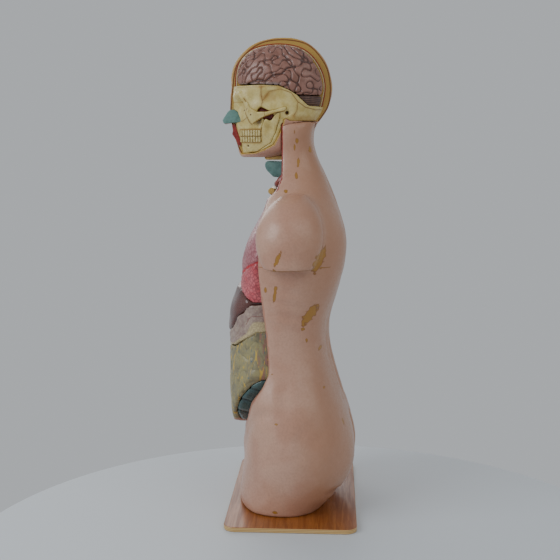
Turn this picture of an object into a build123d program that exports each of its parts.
"""Teaching torso on a board: a hollow cast figure, open in front, with lift-out organs.

Row frame in millimetres: +Z up, -Y the way the figure faces, +X its own left side.
The origin is the centre of the board's underside, which rests on the table.
"""

import os
from math import atan2, copysign, cos, degrees, hypot, pi, radians, sin, tan

from build123d import *

# ---------------------------------------------------------------- overall sizes
FIGURE_HEIGHT = 891.0  # from the top of the board to the crown of the head
FIGURE_WIDTH = 400.0  # across the two arm stumps
FIGURE_DEPTH = 257.0  # from the tip of the nose to the seat

# The figure's outlines below are drawn for these sizes, with the board's top at DRAWN_FOOT.
DRAWN_HEIGHT, DRAWN_WIDTH, DRAWN_DEPTH, DRAWN_FOOT = 891.0, 400.0, 257.0, 9.0

# ---------------------------------------------------------------- board and footing
BOARD_WIDTH = 400.0  # side to side
BOARD_DEPTH = 245.0  # front to back
BOARD_THICKNESS = 9.0
BOARD_CORNER = 22.0
BOARD_EDGE = 1.5
FOOTING_THICKNESS = 18.0  # wooden plug glued into the open foot of the figure
SCREW_HEAD = 8.0
SCREW_SHANK = 4.0
SCREW_HEAD_HEIGHT = 2.4
SCREW_LENGTH = 22.0
SCREW_SPACING_X = 170.0
SCREW_SPACING_Y = 90.0
SCREW_RECESS = 0.6
SCREW_HOLE_CLEARANCE = 0.2

# ---------------------------------------------------------------- casting and fits
WALL = 12.0  # cast wall at the back of the chest and round the foot
GAP = 1.0  # between a lift-out organ and what it lies against
BEND = 12.0  # rounding of drawn outlines
PIN = 6.0  # brass locating pin
PIN_GRIP = 12.0  # length held in the organ
PIN_REACH = 8.0  # length that enters the socket
PIN_CLEARANCE = 0.1  # radial, pin in socket
SOCKET_END = 1.0  # free depth past the pin's end
SMALL_PIN = 4.0
SMALL_PIN_REACH = 6.0

# ---------------------------------------------------------------- planes inside the figure
ORGAN_BACK = -4.0  # back of the lift-out belly organs
BELLY_WALL = 16.0  # front of the cast back wall of the belly
CHEST_FLOOR = 396.0  # drawn height where the belly's back wall starts
HEART_BACK = 0.0
HEART_SPLIT = -52.0
HEART_SET_BACK = 5.0  # the heart's front lies this far behind the lungs'
MEDIASTINUM_FRONT = 8.0
MEDIASTINUM_HALF = 15.0
NECK_FRONT = -14.0
OMENTUM_BACK = -34.0
DIAPHRAGM = 3.0
DIAPHRAGM_FRONT = -34.0
HEAD_SECTION = 5.0  # the left half of the head is cut away beyond this plane
SKULL_DEPTH = 5.0  # skull surface below the skin
SCALP_DEPTH = 8.0  # brain surface below the skin
FOOT_HOLLOW_TOP = 112.0  # drawn height of the hollow in the seat

# Drawn body sections: height, half width, front, back, and the front of the organs there.
BODY = [
    (9, 150, -105, 66, -105),
    (28, 154, -106, 84, -107),
    (52, 159, -102, 104, -108),
    (82, 165, -99, 117, -110),
    (117, 169, -97, 120, -114),
    (160, 167, -96, 114, -120),
    (215, 155, -97, 97, -125),
    (270, 138, -98, 78, -126),
    (330, 128, -95, 66, -127),
    (381, 132, -96, 72, -126),
    (433, 143, -98, 89, -109),
    (486, 151, -96, 101, -103),
    (535, 152, -85, 99, -82),
    (575, 138, -72, 87, -60),
    (602, 106, -62, 77, -52),
    (626, 80, -58, 67, -50),
    (654, 62, -58, 54, -50),
    (694, 56, -56, 38, -50),
    (742, 56, -50, 44, -50),
]
# Drawn sections of one arm stump: height, centre X, centre Y, radius X, radius Y.
STUMP = [
    (477, 156, -5, 40, 45),
    (505, 154, -4, 45, 58),
    (540, 150, -3, 49, 62),
    (572, 140, -1, 46, 54),
    (595, 127, 2, 36, 38),
    (609, 114, 6, 19, 20),
]
# Drawn head sections: height, half width, front, back.
HEAD = [
    (676, 24, -100, -36),
    (688, 40, -106, 2),
    (706, 50, -110, 24),
    (725, 57, -116, 36),
    (745, 64, -121, 47),
    (768, 70, -123, 61),
    (792, 75, -123, 70),
    (818, 77, -122, 70),
    (842, 75, -119.5, 64),
    (862, 68, -109, 54),
    (880, 54, -92, 38.5),
    (893, 34, -70, 18),
    (900, 12, -42, -6),
]


# ---------------------------------------------------------------- drawing helpers
def wide(x):
    """Drawn X to real X."""
    return x * FIGURE_WIDTH / DRAWN_WIDTH


def deep(y):
    """Drawn Y to real Y."""
    return y * FIGURE_DEPTH / DRAWN_DEPTH


def high(z):
    """Drawn height to real height."""
    return BOARD_THICKNESS + (z - DRAWN_FOOT) * FIGURE_HEIGHT / DRAWN_HEIGHT


def oval_wire(z, half_width, front, back, fullness=2.4, middle=0.5, count=12):
    """A closed smooth section at real height z, rounder than an ellipse at its shoulders."""
    centre = front + middle * (back - front)
    points = []
    for k in range(count):
        turn = pi / 2 + 2 * pi * k / count
        c, s = cos(turn), sin(turn)
        depth = back - centre if s > 0 else centre - front
        points.append(
            (
                half_width * copysign(abs(c) ** (2 / fullness), c),
                centre + depth * copysign(abs(s) ** (2 / fullness), s),
                z,
            )
        )
    return Wire(Spline(*points, periodic=True))


def skin_loft(wires):
    return Solid.make_loft(wires, False)


def outline_wire(points, bend):
    """A closed outline of straight runs whose corners are rounded by up to bend."""
    vectors = [Vector(*p) for p in points]
    radii = []
    for i, corner in enumerate(vectors):
        before, after = vectors[i - 1] - corner, vectors[(i + 1) % len(vectors)] - corner
        turn = radians(180 - before.get_angle(after))
        shorter = min(before.length, after.length)
        radii.append(min(bend, 0.45 * shorter / tan(turn / 2)) if turn > 0.05 else 0)
    return Wire(FilletPolyline(*vectors, radius=radii, close=True))


def front_prism(outline, y_from=-400.0, y_to=400.0, bend=BEND, grow=0.0):
    """The drawn front-view outline (X, Z) run from y_from to y_to, with straight walls."""
    wire = outline_wire([(wide(x), y_from, high(z)) for x, z in outline], bend)
    face = Face(wire)
    if grow:
        face = Face(offset_outline(face, grow))
    return Solid.extrude(face, Vector(0, y_to - y_from, 0))


def side_prism(outline, x_from=-400.0, x_to=400.0, bend=BEND, grow=0.0):
    """The drawn side-view outline (Y, Z) run from x_from to x_to."""
    wire = outline_wire([(x_from, deep(y), high(z)) for y, z in outline], bend)
    face = Face(wire)
    if grow:
        face = Face(offset_outline(face, grow))
    return Solid.extrude(face, Vector(x_to - x_from, 0, 0))


def offset_outline(face, grow):
    """The face's outline moved outwards by grow, or inwards where grow is negative."""
    moved = face.outer_wire().offset_2d(grow, Kind.ARC)
    return moved if isinstance(moved, Wire) else moved.wires()[0]


def slab(x=(-400, 400), y=(-400, 400), z=(-100, 1200)):
    """A box between real limits."""
    sizes = [high_end - low_end for low_end, high_end in (x, y, z)]
    middle = [(low_end + high_end) / 2 for low_end, high_end in (x, y, z)]
    return Pos(*middle) * Box(*sizes)


def egg(centre, radii):
    """An ellipsoid at a drawn centre, with drawn radii."""
    cx, cy, cz = wide(centre[0]), deep(centre[1]), high(centre[2])
    rx, ry = wide(radii[0]), deep(radii[1])
    rz = radii[2] * FIGURE_HEIGHT / DRAWN_HEIGHT
    return Pos(cx, cy, cz) * scale(Sphere(1), by=(rx, ry, rz))


def tube(points, radius):
    """A round cord of a vessel through drawn points, with arcs as large as its runs allow."""
    path = [Vector(wide(x), deep(y), high(z)) for x, y, z in points]
    if len(path) == 2:
        line = Line(*path)
    else:
        radii = []
        for before, corner, after in zip(path, path[1:], path[2:]):
            turn = radians((corner - before).get_angle(after - corner))
            shorter = min((corner - before).length, (after - corner).length)
            radii.append(0.45 * shorter / tan(turn / 2) if turn > 0.05 else 0)
        line = FilletPolyline(*path, radius=radii)
    profile = Plane(line @ 0, z_dir=line % 0) * Circle(radius)
    return sweep(profile, path=line)


def peg(start, end, diameter):
    """A round pin between two real points."""
    a, b = Vector(*start), Vector(*end)
    return Plane(a, z_dir=b - a) * Pos(0, 0, (b - a).length / 2) * Cylinder(diameter / 2, (b - a).length)


def section_at(rows, z):
    """A drawn row interpolated at drawn height z."""
    for low_row, high_row in zip(rows, rows[1:]):
        if low_row[0] <= z <= high_row[0]:
            share = (z - low_row[0]) / (high_row[0] - low_row[0])
            return [a + share * (b - a) for a, b in zip(low_row, high_row)]
    return rows[-1]


def write(name, shape):
    """One STEP file for each sub-part, named as its node."""
    export_step(shape, f"parts/{name}.step")


# ---------------------------------------------------------------- the body's surfaces
def body_loft(inset=0.0, front=None, rows=BODY):
    """The body's skin, or a surface inset below it, closed top and bottom."""
    wires = []
    for z, half_width, row_front, back, _ in rows:
        y_front = deep(row_front) + inset if front is None else front
        wires.append(oval_wire(high(z), wide(half_width) - inset, y_front, deep(back) - inset))
    return skin_loft(wires)


def organ_loft():
    """A solid whose front is the surface that the organs share; its back lies beyond their room."""
    wires = []
    for z, half_width, _, back, front in [row for row in BODY if 100 < row[0] < 660]:
        half = wide(half_width) - WALL - GAP
        wires.append(oval_wire(high(z), half, deep(front), deep(back) + 25, middle=0.45))
    return skin_loft(wires)


def head_loft(inset=0.0):
    """The head's skin, or a surface inset below it."""
    wires = []
    for z, half_width, front, back in HEAD:
        share = min(1.0, 0.85 * wide(half_width) / (inset + 0.01), 1.0)
        step = inset * share
        wires.append(
            oval_wire(
                high(z) - (inset if z == HEAD[-1][0] else 0),
                max(wide(half_width) - step, 4.0),
                deep(front) + min(step, deep(back - front) * 0.3),
                deep(back) - min(step, deep(back - front) * 0.3),
                fullness=2.2,
                middle=0.6,
            )
        )
    return skin_loft(wires)


# ---------------------------------------------------------------- drawn outlines
# Half of the opening in the figure's front, from the groin up to the throat: X, height.
OPENING = [
    (36, 164),
    (74, 196),
    (104, 238),
    (116, 272),
    (110, 330),
    (111, 380),
    (114, 430),
    (114, 500),
    (107, 550),
    (90, 580),
    (58, 602),
    (40, 622),
    (38, 692),
]
OPENING_FOOT = (0, 150)

TRACHEA = [(0, 3, 550), (0, -2, 580), (0, -28, 634)]

# Side view of the cut edge round the opening: Y, height. What lies in front is taken away.
CUT_EDGE = [
    (-23, 800),
    (-23, 640),
    (-31, 616),
    (-48, 600),
    (-61, 566),
    (-65, 520),
    (-61, 464),
    (-57, 420),
    (-46, 335),
    (-43, 275),
    (-56, 247),
    (-77, 216),
    (-88, 176),
    (-98, 148),
    (-150, 136),
]

# Line of the diaphragm in the front view, from the figure's right to its left.
DOME = [(-124, 396), (-92, 413), (-58, 428), (-20, 433), (20, 431), (58, 434), (86, 421), (124, 398)]

HEART = [
    (-33, 498), (-38, 468), (-28, 434), (20, 431), (58, 434), (62, 468), (54, 504), (34, 528), (8, 538),
    (-16, 530),
]
LUNG_LEFT = [
    (17, 600), (17, 560), (34, 528), (54, 504), (62, 468), (58, 434), (86, 421), (108, 409), (124, 398),
    (140, 398), (140, 600),
]
LUNG_RIGHT = [
    (-17, 600), (-17, 560), (-33, 498), (-38, 468), (-28, 434), (-58, 428), (-92, 413), (-124, 396),
    (-140, 396), (-140, 600),
]
LIVER = [
    (-140, 396), (-124, 396), (-92, 413), (-58, 428), (-28, 434), (20, 431), (58, 434), (86, 421), (108, 409),
    (96, 390), (83, 379), (72, 364), (64, 355), (40, 346), (22, 340), (-18, 326), (-60, 314), (-140, 304),
]
STOMACH = [
    (108, 409), (124, 398), (140, 398), (140, 392), (116, 374), (105, 345), (90, 331), (74, 321), (58, 317),
    (25, 314), (-12, 308), (-18, 326), (22, 340), (40, 346), (64, 355), (72, 364), (83, 379), (96, 390),
]
BOWEL = [
    (-140, 304), (-60, 314), (-18, 326), (-12, 308), (25, 314), (58, 317), (74, 321), (90, 331), (105, 345),
    (116, 374), (140, 392), (140, 140), (-140, 140),
]
# Side view of the colon's two ends, which show through the apron of fat over the bowel.
COLON = [(-56, 262), (-76, 250), (-98, 222), (-108, 190), (-104, 166), (-90, 160), (-60, 160), (-30, 262)]
COLON_INNER = 20.0  # nearest that the colon's ends come to the middle plane


def opening_outline():
    return [OPENING_FOOT] + OPENING + [(-x, z) for x, z in reversed(OPENING)]


# ---------------------------------------------------------------- board and footing
def screw_places():
    for x in (-SCREW_SPACING_X / 2, SCREW_SPACING_X / 2):
        for y in (-SCREW_SPACING_Y / 2, SCREW_SPACING_Y / 2):
            yield x, y + deep(-18)


def screw_shape(extra=0.0):
    """A countersunk wood screw, head down, with its head just above the board's underside."""
    head = Cone(SCREW_HEAD / 2 + extra, SCREW_SHANK / 2 + extra, SCREW_HEAD_HEIGHT)
    shank = Cylinder(SCREW_SHANK / 2 + extra, SCREW_LENGTH - SCREW_HEAD_HEIGHT)
    head = Pos(0, 0, SCREW_RECESS + SCREW_HEAD_HEIGHT / 2) * head
    return head + Pos(0, 0, SCREW_RECESS + (SCREW_LENGTH + SCREW_HEAD_HEIGHT) / 2) * shank


def make_board():
    plate = extrude(RectangleRounded(BOARD_WIDTH, BOARD_DEPTH, BOARD_CORNER), BOARD_THICKNESS)
    plate = fillet(plate.edges().filter_by(Plane.XY), BOARD_EDGE)
    for x, y in screw_places():
        hole = Cylinder(SCREW_SHANK / 2 + SCREW_HOLE_CLEARANCE, BOARD_THICKNESS * 3)
        sink = Cylinder(SCREW_HEAD / 2 + SCREW_HOLE_CLEARANCE, SCREW_RECESS * 2)
        plate -= Pos(x, y, 0) * (hole + sink)
        plate -= Pos(x, y, 0) * screw_shape(SCREW_HOLE_CLEARANCE)
    return plate


def foot_hollow():
    """The hollow inside the seat, open at the foot."""
    rows = [row for row in BODY if row[0] <= FOOT_HOLLOW_TOP]
    top = section_at(BODY, FOOT_HOLLOW_TOP)
    return body_loft(WALL, rows=rows + [tuple(top)])


def make_footing():
    plug = foot_hollow() & slab(z=(0, BOARD_THICKNESS + FOOTING_THICKNESS))
    for x, y in screw_places():
        plug -= Pos(x, y, 0) * screw_shape()
    return plug


def make_screws():
    return Compound(children=[Pos(x, y, 0) * screw_shape() for x, y in screw_places()])


# ---------------------------------------------------------------- pins
CHEST_PINS = {"left": [(78, 470), (66, 545)], "right": [(-78, 470), (-66, 545)]}
BELLY_PINS = {
    "liver": [(-78, 352), (-20, 372)],
    "stomach": [(90, 357), (44, 330)],
    "bowel": [(-52, 268), (66, 292)],
}
HEART_PINS = [(-6, 462), (-6, 512)]
COVER_PINS = [(40, 448), (-22, 500)]
BRAIN_PINS = [(-72, 838), (18, 838)]


def chest_back(x, z):
    """Real Y of the chest's cast inner wall at a drawn place."""
    _, half_width, _, back, _ = section_at(BODY, z)
    front = deep(-150)
    rear = deep(back) - WALL
    centre = (front + rear) / 2
    share = 1 - (abs(wide(x)) / (wide(half_width) - WALL)) ** 2.4
    return centre + (rear - centre) * share ** (1 / 2.4)


def chest_pegs(side, extra=0.0, past=0.0):
    made = []
    for x, z in CHEST_PINS[side]:
        wall = chest_back(x, z)
        start = (wide(x), wall - GAP - PIN_GRIP, high(z))
        end = (wide(x), wall + PIN_REACH + past, high(z))
        made.append(peg(start, end, PIN + 2 * extra))
    return made


def belly_pegs(organ, extra=0.0, past=0.0):
    made = []
    for x, z in BELLY_PINS[organ]:
        start = (wide(x), ORGAN_BACK - PIN_GRIP, high(z))
        end = (wide(x), BELLY_WALL + PIN_REACH + past, high(z))
        made.append(peg(start, end, PIN + 2 * extra))
    return made


def heart_pegs(extra=0.0, past=0.0):
    made = []
    for x, z in HEART_PINS:
        start = (wide(x), HEART_BACK - PIN_GRIP, high(z))
        end = (wide(x), MEDIASTINUM_FRONT + PIN_REACH + past, high(z))
        made.append(peg(start, end, PIN + 2 * extra))
    return made


def cover_pegs(extra=0.0, past=0.0):
    made = []
    for x, z in COVER_PINS:
        start = (wide(x), HEART_SPLIT - SMALL_PIN_REACH, high(z))
        end = (wide(x), HEART_SPLIT + GAP + SMALL_PIN_REACH + past, high(z))
        made.append(peg(start, end, SMALL_PIN + 2 * extra))
    return made


def brain_pegs(extra=0.0, past=0.0):
    made = []
    for y, z in BRAIN_PINS:
        start = (HEAD_SECTION + GAP + PIN_GRIP, deep(y), high(z))
        end = (HEAD_SECTION - PIN_REACH - past, deep(y), high(z))
        made.append(peg(start, end, PIN + 2 * extra))
    return made


def less(shape, cutters):
    for cutter in cutters:
        shape -= cutter
    return shape


# ---------------------------------------------------------------- figure
def make_basin():
    """The hollow that holds the organs: straight walls from the front, the cast wall behind."""
    hollow = front_prism(opening_outline(), -300, 200) & body_loft(WALL, front=deep(-150))
    return hollow - slab(y=(BELLY_WALL, 400), z=(0, high(CHEST_FLOOR)))


def make_stump(side):
    wires = []
    for z, x, y, radius_x, radius_y in STUMP:
        ring = Ellipse(wide(radius_x), deep(radius_y)).face()
        wires.append(ring.moved(Location((side * wide(x), deep(y), high(z)))).outer_wire())
    return skin_loft(wires)


def make_torso(basin):
    away = side_prism(CUT_EDGE + [(-300, 136), (-300, 800)], wide(-130), wide(130))
    shell = body_loft() - away
    shell = shell + make_stump(1) + make_stump(-1)
    shell = shell - basin - foot_hollow()
    sockets = chest_pegs("left", PIN_CLEARANCE, SOCKET_END) + chest_pegs("right", PIN_CLEARANCE, SOCKET_END)
    for organ in BELLY_PINS:
        sockets += belly_pegs(organ, PIN_CLEARANCE, SOCKET_END)
    return less(shell, sockets)


# ---------------------------------------------------------------- head
# Side-view outlines, Y and height.
JAW_LINE = [
    (-150, 683), (-100, 683), (-73, 685), (-54, 692), (-38, 700), (-30, 714), (-22, 732), (-17, 749),
    (-7, 743), (110, 743),
]
BRAIN_BASE = [
    (110, 770), (48, 770), (27, 771), (15, 781), (6, 790), (-9, 799), (-27, 807), (-61, 809), (-150, 809),
]
BRAIN_TOP = [
    (-107, 811), (-109, 822), (-107, 842), (-99, 860), (-78, 877), (-47, 884), (-16, 884), (13, 877),
    (33, 859), (48, 834), (54, 811), (52, 790), (34, 790), (6, 790), (-9, 799), (-27, 807), (-61, 809),
]
CEREBELLUM = [(6, 790), (34, 790), (52, 790), (50, 779), (47, 770), (27, 771), (15, 781)]
MANDIBLE = [
    (-103, 709), (-103, 698), (-101, 684), (-70, 686), (-43, 704), (-34, 722), (-27, 748), (-24, 760),
    (-33, 757), (-44, 742), (-53, 750), (-60, 732), (-62, 716), (-66, 709),
]
CHEEK = [
    (-90, 786), (-83, 768), (-68, 759), (-52, 759), (-26, 765), (-12, 769), (-16, 762), (-36, 758),
    (-53, 752), (-62, 748), (-79, 737), (-86, 748), (-90, 762),
]
CHEEK_STANDS = 2.5  # how far the cheekbone stands proud of the bone round it
MUSCLE = [(-70, 760), (-62, 770), (-50, 764), (-38, 758), (-36, 746), (-44, 738), (-54, 740), (-58, 752)]
NOSE = [
    (-108, 762), (-116, 766), (-124, 765), (-129, 760), (-138, 746), (-135, 739), (-120, 741), (-102, 742),
    (-101, 746),
]
LIPS = [
    (-108, 738), (-121, 739), (-118, 728), (-120, 720), (-114, 711), (-110, 704), (-108, 697), (-100, 700),
    (-100, 736),
]
LARYNX = [(-56, 667), (-50, 669), (-22, 668), (-14, 650), (-20, 636), (-42, 638), (-52, 650), (-57, 658)]
HYOID = [(-59, 679), (-55, 671), (-20, 671), (-14, 679)]
EAR = ((-74, -4, 756), (8, 13, 26))
TEETH_COUNT = 8
TEETH_FRONT, TEETH_BACK = -102, -62
TOOTH_DEPTH = 5.5
UPPER_TEETH, LOWER_TEETH = (716, 727), (704.5, 715)


def left_of_section(inset=0.0):
    return slab(x=(HEAD_SECTION + inset, 400))


def jaw_wedge():
    """Everything above the jaw line, seen from the side."""
    return side_prism(JAW_LINE + [(110, 1000), (-150, 1000)], bend=6)


def make_head(torso):
    """Right half of the head, and the skin under the left half of the jaw."""
    full = head_loft()
    nose = side_prism(NOSE + [(-90, 747), (-90, 766)], wide(-15), HEAD_SECTION, bend=4)
    right = (full + nose) & slab(x=(-400, HEAD_SECTION))
    right += egg(EAR[0], EAR[1]) & slab(x=(-400, wide(EAR[0][0]) + 4))
    under = (full & left_of_section()) - jaw_wedge()
    head = (right + under) - torso
    return less(head, brain_pegs(PIN_CLEARANCE, SOCKET_END))


def skull_surface(y, z):
    """Real X of the skull's side at a drawn place."""
    _, half_width, front, back = section_at(HEAD, z)
    front, back = deep(front) + SKULL_DEPTH, deep(back) - SKULL_DEPTH
    centre = front + 0.6 * (back - front)
    share = 1 - (abs(deep(y) - centre) / (centre - front)) ** 2.2
    return (wide(half_width) - SKULL_DEPTH) * max(share, 0.0) ** (1 / 2.2)


def make_teeth(limits):
    """One half row of teeth set round the jaw, each a separate solid."""
    low, top = limits
    step = (TEETH_BACK - TEETH_FRONT) / TEETH_COUNT
    row = []
    for k in range(TEETH_COUNT):
        y = TEETH_FRONT + (k + 0.5) * step
        z = (low + top) / 2
        x = skull_surface(y, z)
        ahead = skull_surface(y + 1, z) - skull_surface(y - 1, z)
        lean = degrees(atan2(ahead, 2 * deep(1)))
        size = (TOOTH_DEPTH, 0.86 * deep(step) / cos(radians(lean)), (top - low) * 0.94)
        crown = fillet(Box(*size).edges().filter_by(Axis.Z), 1.0)
        row.append(Pos(max(x - 1, HEAD_SECTION + 4), deep(y), high(z)) * Rot(0, 0, -lean) * crown)
    return row


# ---------------------------------------------------------------- organs
def territory(outline, y_from, y_to):
    """The front-view region that belongs to one lift-out organ."""
    return front_prism(outline, y_from, y_to, bend=9, grow=-GAP / 2)


def organ_block():
    """The room for the lift-out organs, with a rounded lower front."""
    room = front_prism(opening_outline(), -300, 200, grow=-GAP) & body_loft(WALL + GAP, front=deep(-150))
    room = room & organ_loft()
    low = [(150, 151), (-127, 151), (-127, 400), (-127, 640), (150, 640)]
    return room & side_prism(low, bend=28)


def dome_band(grow=0.0):
    """The diaphragm's sheet, or the room that it needs."""
    half = DIAPHRAGM / 2 + grow
    upper = [(x, z + half) for x, z in DOME]
    lower = [(x, z - half) for x, z in reversed(DOME)]
    return front_prism(upper + lower, DIAPHRAGM_FRONT - grow, 200, bend=8)


def clear_of(shape, others):
    """The shape without whatever the other pieces already fill."""
    for other in others:
        if boxes_meet(shape.bounding_box(), other.bounding_box()):
            shape = shape - other
    return shape


def boxes_meet(a, b):
    across = a.min.X < b.max.X and b.min.X < a.max.X
    along = a.min.Y < b.max.Y and b.min.Y < a.max.Y
    return across and along and a.min.Z < b.max.Z and b.min.Z < a.max.Z


def make_skull_pieces(torso, head):
    """Left half of the head, with the skin gone: bone, teeth, gristle and muscle."""
    pieces = {}
    upper, lower = make_teeth(UPPER_TEETH), make_teeth(LOWER_TEETH)
    bone = head_loft(SKULL_DEPTH) & left_of_section()
    jaw = side_prism(MANDIBLE, 20, 400, bend=5)
    arch = side_prism(CHEEK, 50, 400, bend=4)
    muscle = side_prism(MUSCLE, 30, 400, bend=5)
    below_brain = side_prism(BRAIN_BASE + [(-150, 600), (110, 600)], bend=6)
    pieces["upper_teeth"] = Compound(children=upper)
    pieces["lower_teeth"] = Compound(children=lower)
    pieces["mandible"] = less((bone & jaw) - torso - head, upper + lower)
    pieces["cheekbone_arch"] = head_loft(SKULL_DEPTH - CHEEK_STANDS) & left_of_section() & arch
    pieces["jaw_muscle"] = (bone & muscle & slab(x=(0, 44))) - arch - jaw
    skull = (bone & below_brain) - torso - head
    skull = skull - jaw - arch - muscle - side_prism(NOSE, HEAD_SECTION, 400, bend=3)
    pieces["skull_half"] = less(skull, upper + lower)
    pieces["nasal_cartilage"] = side_prism(NOSE, HEAD_SECTION, wide(16), bend=3)
    pieces["lip_muscle"] = less(side_prism(LIPS, HEAD_SECTION, wide(12), bend=3) - bone, upper + lower)
    pieces["cerebellum"] = (
        head_loft(SCALP_DEPTH + 4) & left_of_section() & side_prism(CEREBELLUM, bend=3, grow=-0.4)
    )
    return pieces


def make_throat(basin, torso, head):
    """What stays in the chest and the throat once the organs are out."""
    across = (-MEDIASTINUM_HALF, MEDIASTINUM_HALF)
    ridge = basin & slab(across, (MEDIASTINUM_FRONT, 400), (high(436), high(600)))
    ridge = less(ridge, heart_pegs(PIN_CLEARANCE, SOCKET_END))
    neck = basin & slab(y=(deep(NECK_FRONT), 400), z=(high(600), 1200))
    lumps = {
        "trachea": tube(TRACHEA, 9),
        "larynx": side_prism(LARYNX, wide(-15), wide(15), bend=5),
        "hyoid_bone": side_prism(HYOID, wide(-20), wide(20), bend=3),
        "thyroid_gland": tube([(-17, -18, 640), (-14, -32, 625), (14, -32, 625), (17, -18, 640)], 7.5),
        "aortic_arch": tube([(-7, -50, 545), (-5, -44, 574), (8, -6, 578), (8, 10, 546)], 7),
        "neck_arteries": pair([(18, NECK_FRONT, 604), (22, NECK_FRONT - 1, 690)], 4),
        "neck_veins": pair([(28, NECK_FRONT, 606), (31, NECK_FRONT, 690)], 4),
        "collar_bones": pair([(16, -40, 609), (70, -44, 616)], 6.5),
    }
    placed = {"mediastinum": ridge, "neck_muscles": neck}
    placed["trachea"] = clear_of(lumps.pop("trachea"), [])
    placed["mediastinum"] = ridge - placed["trachea"]
    placed["neck_muscles"] = neck - placed["trachea"] - head
    for name, lump in lumps.items():
        inside = lump if name in ("larynx", "hyoid_bone") else lump & basin
        placed[name] = clear_of(inside, [head] + list(placed.values()))
    return placed


def pair(points, radius):
    """A vessel or bone and its mirror image across the middle plane."""
    return tube(points, radius) + tube([(-x, y, z) for x, y, z in points], radius)


def make_belly_relief(basin, torso):
    """The organs cast against the belly's back wall, no higher than the lift-out ones allow."""
    room = basin & slab(y=(ORGAN_BACK + 1.5, BELLY_WALL))
    lumps = {
        "pancreas": tube([(-30, 8, 344), (10, 8, 348), (72, 9, 362)], 8.5),
        "duodenum": tube([(-16, 7, 356), (-44, 7, 352), (-46, 7, 300), (-10, 7, 290)], 8),
        "aorta": tube([(6, 9, 392), (6, 9, 240), (34, 10, 182)], 7),
        "iliac_artery": tube([(8, 9, 252), (-30, 10, 186)], 6),
        "vena_cava": tube([(-13, 9, 392), (-13, 9, 238), (-36, 10, 190)], 7),
        "kidneys": egg((54, 16, 308), (23, 15, 42)) + egg((-56, 16, 300), (23, 15, 42)),
        "ureters": pair([(35, 13, 296), (30, 13, 240), (16, 13, 186)], 2.5),
        "spleen": egg((92, 16, 370), (15, 15, 22)),
        "rectum": tube([(40, 9, 236), (14, 9, 222), (2, 9, 196)], 8),
        "bladder": egg((0, 12, 180), (27, 15, 17)),
    }
    for organ in BELLY_PINS:
        room = less(room, belly_pegs(organ, PIN_CLEARANCE))
    placed = {}
    for name, lump in lumps.items():
        placed[name] = clear_of(lump & room, list(placed.values()))
    return placed


def main():
    os.makedirs("parts", exist_ok=True)
    basin = make_basin()
    torso = make_torso(basin)
    head = make_head(torso)
    throat = make_throat(basin, torso, head)
    fixed = {
        "base_board": make_board(),
        "board_screws": make_screws(),
        "footing_block": make_footing(),
        "torso_shell": torso,
        "head_shell": head,
        "diaphragm": clear_of(dome_band() & basin, list(throat.values())),
    }
    fixed |= make_skull_pieces(torso, head) | throat | make_belly_relief(basin, torso)

    brain_pins = brain_pegs()
    brain = head_loft(SCALP_DEPTH) & left_of_section(GAP) & side_prism(BRAIN_TOP, grow=-GAP, bend=8)
    block = organ_block()
    dome_room = dome_band(GAP)
    loose = {
        "brain_half": less(brain, brain_pins),
        "brain_pins": Compound(children=brain_pins),
    }
    for side, outline in (("left", LUNG_LEFT), ("right", LUNG_RIGHT)):
        pegs = chest_pegs(side)
        lung = (block & territory(outline, -300, 300)) - dome_room
        loose[f"lung_{side}"] = less(lung, pegs)
        loose[f"lung_{side}_pins"] = Compound(children=pegs)

    heart = (Pos(0, HEART_SET_BACK, 0) * block) & territory(HEART, -300, HEART_BACK)
    heart -= dome_room
    heart -= egg((24, -52, 468), (15, 22, 22)) + egg((-10, -52, 470), (11, 16, 20))
    cover = heart & slab(y=(-400, HEART_SPLIT))
    rear = heart & slab(y=(HEART_SPLIT + GAP, 400))
    loose["heart_front"] = less(cover, cover_pegs())
    loose["heart_back"] = less(rear, heart_pegs() + cover_pegs(PIN_CLEARANCE, SOCKET_END))
    loose["heart_pins"] = Compound(children=heart_pegs())
    loose["heart_front_pins"] = Compound(children=cover_pegs())

    belly = block & slab(y=(-400, ORGAN_BACK))
    bowel = less(belly & territory(BOWEL, -300, 300), belly_pegs("bowel"))
    layer = slab(y=(-400, OMENTUM_BACK))
    flanks = slab(x=(-400, wide(-COLON_INNER))) + slab(x=(wide(COLON_INNER), 400))
    coils = side_prism(COLON, bend=12) & flanks
    gall = egg((-44, -42, 318), (12, 28, 12))
    liver = less((belly & territory(LIVER, -300, 300)) - dome_room, belly_pegs("liver"))
    stomach = (belly & territory(STOMACH, -300, 300)) - dome_room
    loose["gall_bladder"] = liver & gall
    loose["liver"] = liver - gall
    loose["stomach"] = less(stomach, belly_pegs("stomach"))
    loose["colon"] = bowel & coils
    loose["greater_omentum"] = (bowel & layer) - coils
    loose["small_bowel"] = (bowel - layer) - coils
    for organ in BELLY_PINS:
        loose[f"{organ}_pins"] = Compound(children=belly_pegs(organ))

    for name, shape in (fixed | loose).items():
        write(name, shape)


if __name__ == "__main__":
    main()
